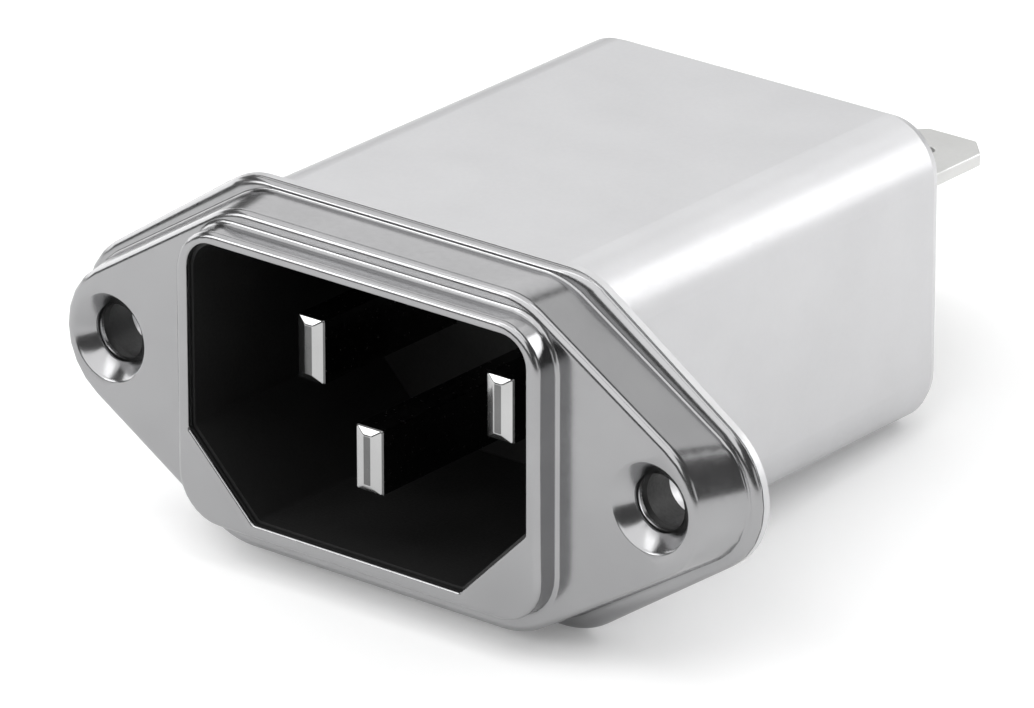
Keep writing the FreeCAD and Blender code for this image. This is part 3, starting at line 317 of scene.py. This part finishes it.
def cover_wall_loops(bm):
    """Loops from the lip's rear edge to the rim of the flat face."""
    rings = rolled_lip_rings()
    for inset, depth in quarter(WALL_ROOT, WALL_ROOT_STEPS, convex=False):
        rings.append((wall_points(WALL_FOOT, inset - WALL_ROOT), LIP_FRONT - depth))
    for inset, depth in quarter(WALL_EDGE, WALL_EDGE_STEPS):
        rings.append((wall_points(WALL_TOP, inset), FACE + WALL_EDGE - depth))
    return [add_loop(bm, points, y) for points, y in rings]


print("lip and wall rings ready")

# %% Rings of the collar, the opening and the dimples


def collar_loops(bm):
    """Loops from the collar's root on the flat face to the rim round the opening."""
    rings = []
    for inset, depth in quarter(COLLAR_ROOT, COLLAR_ROOT_STEPS, convex=False):
        rings.append((collar_points(inset - COLLAR_ROOT), FACE - depth))
    for inset, depth in quarter(COLLAR_EDGE, COLLAR_EDGE_STEPS):
        rings.append((collar_points(inset), COLLAR_FRONT + COLLAR_EDGE - depth))
    return [add_loop(bm, points, y) for points, y in rings]


def opening_loops(bm):
    """Loops from the rim round the opening back through the sheet."""
    rings = []
    for inset, depth in reversed(quarter(OPENING_EDGE, OPENING_EDGE_STEPS)):
        rings.append((opening_points(-inset), COLLAR_FRONT + OPENING_EDGE - depth))
    rings.append((opening_points(0.0), COLLAR_FRONT + SHEET))
    return [add_loop(bm, points, y) for points, y in rings]


def dimple_loops(bm, centre_x):
    """Loops from a dimple's mouth down its cone and through the screw hole."""
    rings = [
        (DIMPLE_MOUTH + DIMPLE_ROUND, FACE),
        (DIMPLE_MOUTH + 0.3 * DIMPLE_ROUND, FACE + 0.3 * DIMPLE_ROUND),
        (DIMPLE_MOUTH - DIMPLE_ROUND, FACE + 1.5 * DIMPLE_ROUND),
        (HOLE_RADIUS + DIMPLE_ROUND, DIMPLE_FLOOR - DIMPLE_ROUND),
        (HOLE_RADIUS, DIMPLE_FLOOR + DIMPLE_ROUND),
        (HOLE_RADIUS, DIMPLE_FLOOR + SHEET),
    ]
    return [add_loop(bm, circle_outline(centre_x, radius), y) for radius, y in rings]


print("collar, opening and dimple rings ready")

# %% [markdown]
# ### Join the cover's rings
#
# The rings are bridged, and the flat face and the collar's rim are filled between them.
# The skin is thinner than the real sheet, which keeps its inner side clear of the
# moulding behind it. Weighted normals let the large flat faces decide how the
# small rounds beside them are shaded.

# %% Build the cover
SKIN = 0.3 * MM
COVER_SMOOTH_BELOW = 50
LARGE_FACE_WEIGHT = 90


def weighted(piece):
    modifier = piece.modifiers.new("Weighted normals", "WEIGHTED_NORMAL")
    modifier.mode = "FACE_AREA"
    modifier.weight = LARGE_FACE_WEIGHT
    modifier.keep_sharp = True


def build_cover():
    bm = bmesh.new()
    wall = cover_wall_loops(bm)
    collar = collar_loops(bm)
    opening = opening_loops(bm)
    dimples = [dimple_loops(bm, side * HOLE_X) for side in (1, -1)]
    for loops in (wall, collar, opening, *dimples):
        skin(bm, loops)
    fill_between(bm, [wall[-1], collar[0], dimples[0][0], dimples[1][0]])
    fill_between(bm, [collar[-1], opening[0]])
    cover = finished("pressed_cover", bm, COVER_SMOOTH_BELOW)
    sheet = cover.modifiers.new("Sheet thickness", "SOLIDIFY")
    sheet.thickness = SKIN
    sheet.offset = -1
    weighted(cover)
    return cover


cover = stand_for(build_cover(), "front_cover", "cover_steel")
print("cover:", len(cover.data.polygons), "faces before its thickness is added")

# %% [markdown]
# ## Blades and their holder
#
# The rear blades are cut from sheet and plated, so their edges are not quite sharp, and
# the holder is moulded. Their CAD shapes are right, so each is a merged copy of its CAD
# node. A Bevel modifier gives each edge the narrow face that catches a line of light.

# %% Break the edges of the blades and their holder
EDGE_STEPS = 2
BLADE_EDGE = 0.08 * MM
HOLDER_EDGE = 0.1 * MM
EDGE_SHARPER_THAN = math.radians(35)


def edged_copy(node, name, slot, width):
    """A copy of a CAD node with a small bevel on its sharp edges."""
    piece = merged_copy(node, name)
    modifier = piece.modifiers.new("Broken edges", "BEVEL")
    modifier.width = width
    modifier.segments = EDGE_STEPS
    modifier.limit_method = "ANGLE"
    modifier.angle_limit = EDGE_SHARPER_THAN
    modifier.harden_normals = True
    return stand_for(piece, node, slot)


for pole in ("line", "neutral", "earth"):
    edged_copy(f"{pole}_tab", f"{pole}_blade", "blade_plating", BLADE_EDGE)
edged_copy("terminal_block", "blade_holder", "black_moulding", HOLDER_EDGE)
print("edges broken on three blades and their holder")

# %% [markdown]
# ## Contact pins
#
# A pin is flat brass bar, plated, with a bevel ground on all four sides of its tip. Its
# shoulder sits in the moulding and a thin tail takes the solder. The bevel is what the
# light finds first, and it has soft corners, so each pin is a loft of rounded rectangles
# in place of a bevelled copy. The bar, the shoulder and the tail are skinned one by one,
# because two rings in one plane are filled, not bridged.

# %% Sizes of the pins
PIN_HALF_THIN = 1.0 * MM
PIN_HALF_TALL = 2.0 * MM
PIN_CORNER = 0.12 * MM
BEVEL_SIDE = 0.75 * MM
BEVEL_END = 0.5 * MM
BEVEL_DEPTH = 0.25 * MM
# How far back each ring of the tip lies, how far inward, and how round its corners are.
TIP_RINGS = ((0, 1, 0.5), (0.12, 0.8, 1), (0.85, 0.12, 1), (1.2, 0, 1))
SHOULDER_START = 12.4 * MM
SHOULDER_THICKNESS = 0.8 * MM
SHOULDER_END = SHOULDER_START + SHOULDER_THICKNESS
SHOULDER_RIM = 0.5 * MM
TAIL_HALF_THIN = 0.4 * MM
TAIL_HALF_TALL = 1.0 * MM
PIN_SMOOTH_BELOW = 20
print("pins of", round(2 * PIN_HALF_THIN / MM, 1), "by", round(2 * PIN_HALF_TALL / MM, 1), "mm")

# %% Build the pins


def tip_rings(front):
    """Depth, half thickness, half height and corner radius of the tip's rings."""
    rings = []
    for back, inward, rounding in TIP_RINGS:
        half_thin = PIN_HALF_THIN - inward * BEVEL_SIDE
        half_tall = PIN_HALF_TALL - inward * BEVEL_END
        rings.append((front + back * BEVEL_DEPTH, half_thin, half_tall, rounding * PIN_CORNER))
    return rings


def stretches(front, rear):
    """The rings of the bar with its tip, of the shoulder, and of the solder tail."""
    bar = (PIN_HALF_THIN, PIN_HALF_TALL, PIN_CORNER)
    shoulder = (PIN_HALF_THIN + SHOULDER_RIM, PIN_HALF_TALL + SHOULDER_RIM, PIN_CORNER)
    tail = (TAIL_HALF_THIN, TAIL_HALF_TALL, PIN_CORNER)
    return (
        tip_rings(front) + [(SHOULDER_START, *bar)],
        [(SHOULDER_START, *shoulder), (SHOULDER_END, *shoulder)],
        [(SHOULDER_END, *tail), (rear, *tail)],
    )


def pin_section(middle, half_thin, half_tall, corner):
    return [point + middle for point in box_outline(half_thin, half_tall, half_tall, corner)]


def pin_loops(bm, middle, rings):
    return [add_loop(bm, pin_section(middle, *sizes), y) for y, *sizes in rings]


def build_pin(node):
    """Skin the three stretches of a pin and close the flats at their ends."""
    low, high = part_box(node)
    middle = Vector(((low.x + high.x) / 2, (low.z + high.z) / 2))
    bm = bmesh.new()
    bar, shoulder, tail = (pin_loops(bm, middle, rings) for rings in stretches(low.y, high.y))
    for loops in (bar, shoulder, tail):
        skin(bm, loops)
    fill_between(bm, [shoulder[0], bar[-1]])
    fill_between(bm, [shoulder[-1], tail[0]])
    for end in (bar[0], tail[-1]):
        bmesh.ops.contextual_create(bm, geom=end)
    pin = finished(node.replace("_pin", "_contact"), bm, PIN_SMOOTH_BELOW)
    return stand_for(pin, node, "pin_plating")


pins = [build_pin(node) for node in ("line_pin", "neutral_pin", "earth_pin")]
print("pins:", [len(pin.data.polygons) for pin in pins], "faces")

# %% [markdown]
# ## The earth rivet
#
# A setting tool leaves a low dome on each head. A round part is quickest as half a
# profile that is spun round its axis.

# %% Spin the earth rivet
RIVET_LOW, RIVET_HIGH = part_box("earth_rivet")
RIVET_MIDDLE = (RIVET_LOW.z + RIVET_HIGH.z) / 2
RIVET_HEAD = (RIVET_HIGH.z - RIVET_LOW.z) / 2
RIVET_DOME = 0.7 * MM
RIVET_SHANK = 1.2 * MM
DOME_STEPS = 6
SPIN_STEPS = 40


def dome_profile(top, seat):
    """Points from the middle of a dome at Y = top to its rim at Y = seat."""
    points = []
    for step in range(DOME_STEPS + 1):
        angle = math.pi / 2 * step / DOME_STEPS
        points.append((RIVET_HEAD * math.sin(angle), seat + (top - seat) * math.cos(angle)))
    return points


def build_rivet():
    """Spin the rivet's half profile round its own axis."""
    bm = bmesh.new()
    outer_seat = RIVET_HIGH.y - RIVET_DOME
    inner_seat = RIVET_LOW.y + RIVET_DOME
    profile = dome_profile(RIVET_HIGH.y, outer_seat)
    profile += [(RIVET_SHANK, outer_seat), (RIVET_SHANK, inner_seat)]
    profile += reversed(dome_profile(RIVET_LOW.y, inner_seat))
    vertices = [bm.verts.new((radius, y, RIVET_MIDDLE)) for radius, y in profile]
    edges = [bm.edges.new(pair) for pair in zip(vertices, vertices[1:])]
    bmesh.ops.spin(
        bm,
        geom=vertices + edges,
        cent=(0, 0, RIVET_MIDDLE),
        axis=(0, 1, 0),
        angle=2 * math.pi,
        steps=SPIN_STEPS,
        use_merge=True,
    )
    bmesh.ops.remove_doubles(bm, verts=bm.verts, dist=MERGE_DISTANCE)
    return finished("set_rivet", bm)


rivet = stand_for(build_rivet(), "earth_rivet", "blade_plating")
print("rivet:", len(rivet.data.polygons), "faces")

# %% [markdown]
# ## Finishes
#
# Plated sheet has a fine grain from the rolls and slow changes in tone from the bath.
# Moulded plastic is duller and more even. All of them are one small node graph with other
# numbers: slow noise mixes two near colours, and fine noise changes the roughness and
# lifts the surface a little, so that no metal reflects like a mirror. The noise is in
# object coordinates, because the pieces have no unwrapped surface to paint on.

# %% Material helpers
NOISE_MIDDLE = (0.3, 0.7)
SLOW_SCALE, SLOW_DETAIL = 180, 3
FINE_DETAIL = 4
# The Mix node's sockets for colours.
MIX_FACTOR, MIX_DARK, MIX_LIGHT, MIX_RESULT = 0, 6, 7, 2


def object_noise(tree, scale, detail):
    """Noise in object coordinates; scale is per metre."""
    place = tree.nodes.new("ShaderNodeTexCoord")
    noise = tree.nodes.new("ShaderNodeTexNoise")
    noise.inputs["Scale"].default_value = scale
    noise.inputs["Detail"].default_value = detail
    tree.links.new(place.outputs["Object"], noise.inputs["Vector"])
    return noise.outputs["Fac"]


def ranged(tree, value, low, high):
    """Spread the middle of a noise over low to high."""
    spread = tree.nodes.new("ShaderNodeMapRange")
    limits = zip(("From Min", "From Max", "To Min", "To Max"), (*NOISE_MIDDLE, low, high))
    for name, number in limits:
        spread.inputs[name].default_value = number
    tree.links.new(value, spread.inputs["Value"])
    return spread.outputs["Result"]


def tinted(tree, value, dark, light):
    """Mix two colours by a value."""
    mix = tree.nodes.new("ShaderNodeMix")
    mix.data_type = "RGBA"
    mix.inputs[MIX_DARK].default_value = (*dark, 1)
    mix.inputs[MIX_LIGHT].default_value = (*light, 1)
    tree.links.new(value, mix.inputs[MIX_FACTOR])
    return mix.outputs[MIX_RESULT]


def finish(name, dark, light, metallic, roughness, grain, grain_height):
    """A surface with slow colour changes and a fine grain."""
    material = bpy.data.materials.new(name)
    material.use_nodes = True
    tree = material.node_tree
    shader = tree.nodes["Principled BSDF"]
    shader.inputs["Metallic"].default_value = metallic
    slow = object_noise(tree, SLOW_SCALE, SLOW_DETAIL)
    fine = object_noise(tree, grain, FINE_DETAIL)
    tree.links.new(tinted(tree, ranged(tree, slow, 0, 1), dark, light), shader.inputs["Base Color"])
    tree.links.new(ranged(tree, fine, *roughness), shader.inputs["Roughness"])
    bump = tree.nodes.new("ShaderNodeBump")
    bump.inputs["Strength"].default_value = 1.0
    bump.inputs["Distance"].default_value = grain_height
    tree.links.new(fine, bump.inputs["Height"])
    tree.links.new(bump.outputs["Normal"], shader.inputs["Normal"])
    return material


print("material helpers ready")

# %% The finishes, by material slot
FINISHES = {
    "cover_steel": finish(
        "Satin nickel", (0.32, 0.32, 0.325), (0.35, 0.35, 0.355), 1.0, (0.17, 0.22), 2500, 0.0002 * MM
    ),
    "can_steel": finish(
        "Matte tin plate", (0.6, 0.6, 0.61), (0.63, 0.63, 0.64), 0.62, (0.34, 0.42), 3500, 0.0008 * MM
    ),
    "black_moulding": finish(
        "Black moulding", (0.006, 0.006, 0.006), (0.01, 0.01, 0.01), 0.0, (0.45, 0.6), 6000, 0.004 * MM
    ),
    "pin_plating": finish(
        "Dull nickel", (0.13, 0.13, 0.13), (0.17, 0.17, 0.17), 1.0, (0.2, 0.28), 3000, 0.0006 * MM
    ),
    # Pin bevels: a lighter copy of the pin plating, a painted highlight, and a little smoother too.
    "tip_highlight": finish(
        "Painted tip highlight", (0.42, 0.42, 0.42), (0.48, 0.48, 0.48), 1.0, (0.12, 0.17), 3000, 0.0002 * MM
    ),
    "blade_plating": finish(
        "Tin plate", (0.6, 0.6, 0.59), (0.66, 0.66, 0.65), 0.9, (0.3, 0.4), 3000, 0.001 * MM
    ),
    "copper_strip": finish(
        "Copper strip", (0.62, 0.34, 0.2), (0.7, 0.42, 0.26), 1.0, (0.3, 0.45), 3000, 0.003 * MM
    ),
    "copper_wire": finish(
        "Enamelled wire", (0.4, 0.13, 0.05), (0.5, 0.18, 0.07), 0.6, (0.2, 0.3), 2000, 0.002 * MM
    ),
    "ferrite": finish(
        "Ferrite", (0.05, 0.05, 0.053), (0.08, 0.08, 0.085), 0.0, (0.6, 0.75), 5000, 0.006 * MM
    ),
    "liner_film": finish(
        "Polyester film", (0.72, 0.72, 0.68), (0.8, 0.8, 0.76), 0.0, (0.35, 0.5), 800, 0.002 * MM
    ),
    "x_case": finish(
        "Yellow case", (0.68, 0.5, 0.12), (0.75, 0.56, 0.15), 0.0, (0.35, 0.5), 3000, 0.003 * MM
    ),
    "disc_coating": finish(
        "Blue dip", (0.05, 0.16, 0.42), (0.07, 0.2, 0.5), 0.0, (0.2, 0.35), 900, 0.01 * MM
    ),
    "resistor_coating": finish(
        "Beige lacquer", (0.5, 0.38, 0.22), (0.56, 0.43, 0.26), 0.0, (0.2, 0.35), 900, 0.005 * MM
    ),
}
print(len(FINISHES), "finishes")

# %% [markdown]
# ### Dress the pieces
#
# Every CAD node takes the finish of its slot from the record, and so does each finished
# piece. The pins have a second finish on their bevels: a lighter, slightly smoother copy of
# the plating, whose extra lightness is a painted highlight.

# %% Give every piece its finish
FACES_FORWARD = -0.99


def dress(piece, slot):
    piece.data.materials.clear()
    piece.data.materials.append(FINISHES[slot])


def paint_bevel_highlight(pin):
    """Give the ground faces round a pin's tip a lighter finish: a painted highlight."""
    pin.data.materials.append(FINISHES["tip_highlight"])
    tip = min(vertex.co.y for vertex in pin.data.vertices)
    for face in pin.data.polygons:
        if face.center.y < tip + BEVEL_DEPTH and face.normal.y > FACES_FORWARD:
            face.material_index = 1


for part in frame["record"]["subparts"]:
    dress(NODES[part["node"]], part["material_slot"])
for piece, slot in stand_ins:
    dress(piece, slot)
for pin in pins:
    paint_bevel_highlight(pin)
print("dressed", len(NODES), "CAD nodes and", len(stand_ins), "finished pieces")

# %% [markdown]
# ## The floor
#
# The unit rests on the bottom edge of its flange and the bottom rear edge of its can, so
# the floor is one flat sheet under those two edges. It is plain white paper.
# More light would make it whiter, but would also bleach the unit, so a small glow does it.
# Only the camera, reflections and glass see that glow: matt surfaces get no light from it,
# and the metal shows the same white floor as the camera does.

# %% Floor
FLOOR_SIZE = 1.6
FLOOR_CELLS = 4
FLOOR_GLOW = 0.14
PAPER_WHITE = (0.96, 0.96, 0.96, 1)
CAN_LOW, CAN_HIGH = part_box("filter_can")


def underside(node, behind):
    """How low a node's mesh reaches behind a depth."""
    return min(vertex.co.z for vertex in NODES[node].data.vertices if vertex.co.y > behind)


# The can's box starts at its flange, so its own underside is measured further back.
CAN_UNDERSIDE = underside("filter_can", CAN_HIGH.y / 2)
SLOPE = math.atan2(CAN_UNDERSIDE - CAN_LOW.z, CAN_HIGH.y)


def combined(tree, operation, first, second):
    """A maths node of two values."""
    node = tree.nodes.new("ShaderNodeMath")
    node.operation = operation
    tree.links.new(first, node.inputs[0])
    tree.links.new(second, node.inputs[1])
    return node.outputs[0]


def white_paper():
    """Paper that looks white to the camera and in the metal, and shows the unit's shadow."""
    material = bpy.data.materials.new("White paper")
    material.use_nodes = True
    tree = material.node_tree
    shader = tree.nodes["Principled BSDF"]
    shader.inputs["Base Color"].default_value = PAPER_WHITE
    shader.inputs["Roughness"].default_value = 0.8
    shader.inputs["Specular IOR Level"].default_value = 0.1
    shader.inputs["Emission Color"].default_value = (1, 1, 1, 1)
    rays = tree.nodes.new("ShaderNodeLightPath").outputs
    seen = combined(tree, "MAXIMUM", rays["Is Camera Ray"], rays["Is Glossy Ray"])
    seen = combined(tree, "MAXIMUM", seen, rays["Is Transmission Ray"])
    glow = tree.nodes.new("ShaderNodeMath")
    glow.operation = "MULTIPLY"
    glow.inputs[1].default_value = FLOOR_GLOW
    tree.links.new(seen, glow.inputs[0])
    tree.links.new(glow.outputs[0], shader.inputs["Emission Strength"])
    return material


def build_floor():
    bm = bmesh.new()
    bmesh.ops.create_grid(bm, x_segments=FLOOR_CELLS, y_segments=FLOOR_CELLS, size=FLOOR_SIZE)
    turn = Matrix.Translation((0, 0, CAN_LOW.z)) @ Matrix.Rotation(SLOPE, 4, "X")
    bmesh.ops.transform(bm, matrix=turn, verts=bm.verts)
    floor = finished("studio_floor", bm)
    floor.data.materials.append(white_paper())
    return floor


floor = build_floor()
print("floor slope in degrees:", round(math.degrees(SLOPE), 2))

# %% [markdown]
# ## Lights
#
# Metal takes its look from what stands round it: here the white floor, the softboxes and
# the dim room between them. A softbox is a rectangular area lamp. Each one stands in a
# direction that one or two faces of the unit mirror towards the camera. Its radiance is
# how bright it would show in a perfect mirror, and its size sets how wide its reflection
# is.

# %% Softboxes
LAMP_DISTANCE = 0.6
LIT_POINT = Vector((0, 12 * MM, 0))
# Direction from the unit, width and height in metres, and radiance.
SOFTBOXES = {
    "Top softbox": ((-0.35, -0.1, 0.93), (0.6, 0.6), 1.35),
    "Front top softbox": ((-0.08, -0.75, 0.65), (0.75, 0.55), 1.75),
    "Top right softbox": ((0.3, -0.15, 0.93), (0.25, 0.35), 1.8),
    "Left softbox": ((-0.97, 0.12, 0.21), (0.6, 0.22), 2.2),
    "Rear left softbox": ((-0.33, 0.75, 0.57), (0.66, 0.32), 1.25),
    "Rear top softbox": ((0.16, 0.63, 0.74), (0.26, 0.3), 0.92),
    "Rear right softbox": ((0.56, 0.73, 0.36), (0.2, 0.55), 3.9),
    "Front left softbox": ((-0.62, -0.68, 0.34), (0.2, 0.2), 3.6),
    "Right fill": ((0.97, -0.1, 0.2), (0.25, 0.25), 0.9),
}


def soft_light(name, towards, size, radiance):
    """A rectangular softbox that shines on the unit from a direction."""
    data = bpy.data.lights.new(name, "AREA")
    data.shape = "RECTANGLE"
    data.size, data.size_y = size
    data.energy = radiance * math.pi * size[0] * size[1]
    lamp = bpy.data.objects.new(name, data)
    direction = Vector(towards).normalized()
    lamp.location = LIT_POINT + direction * LAMP_DISTANCE
    lamp.rotation_euler = direction.to_track_quat("Z", "Y").to_euler()
    bpy.context.scene.collection.objects.link(lamp)


for name, setting in SOFTBOXES.items():
    soft_light(name, *setting)
print(len(SOFTBOXES), "softboxes")

# %% The room round the unit
ROOM_BRIGHTNESS = 0.12
world = bpy.data.worlds.new("Room")
world.use_nodes = True
bpy.context.scene.world = world
room = world.node_tree.nodes["Background"]
room.inputs["Color"].default_value = (1, 1, 1, 1)
room.inputs["Strength"].default_value = ROOM_BRIGHTNESS
print("room brightness", ROOM_BRIGHTNESS)

# %% [markdown]
# ## Camera
#
# A long lens from half a metre away, above the socket's front and to its right, shows the
# socket, the top and one side of the can, with little perspective. The view transform is
# plain Standard, so that a colour comes out as it is written.

# %% Camera
CAMERA_PLACE = Vector((302.8, -367.2, 198.9)) * MM
CAMERA_RISE = 22.406
CAMERA_TURN = 38.861
LENS = 313.3
SENSOR_WIDTH = 36.0
CLIP_START = 0.01


def add_camera():
    data = bpy.data.cameras.new("Studio camera")
    data.lens = LENS
    data.sensor_width = SENSOR_WIDTH
    data.clip_start = CLIP_START
    camera = bpy.data.objects.new("Studio camera", data)
    camera.location = CAMERA_PLACE
    camera.rotation_euler = (math.radians(90 - CAMERA_RISE), 0, math.radians(CAMERA_TURN))
    bpy.context.scene.collection.objects.link(camera)
    bpy.context.scene.camera = camera
    return camera


camera = add_camera()
bpy.context.scene.view_settings.view_transform = "Standard"
print("camera at", [round(v, 4) for v in camera.location])
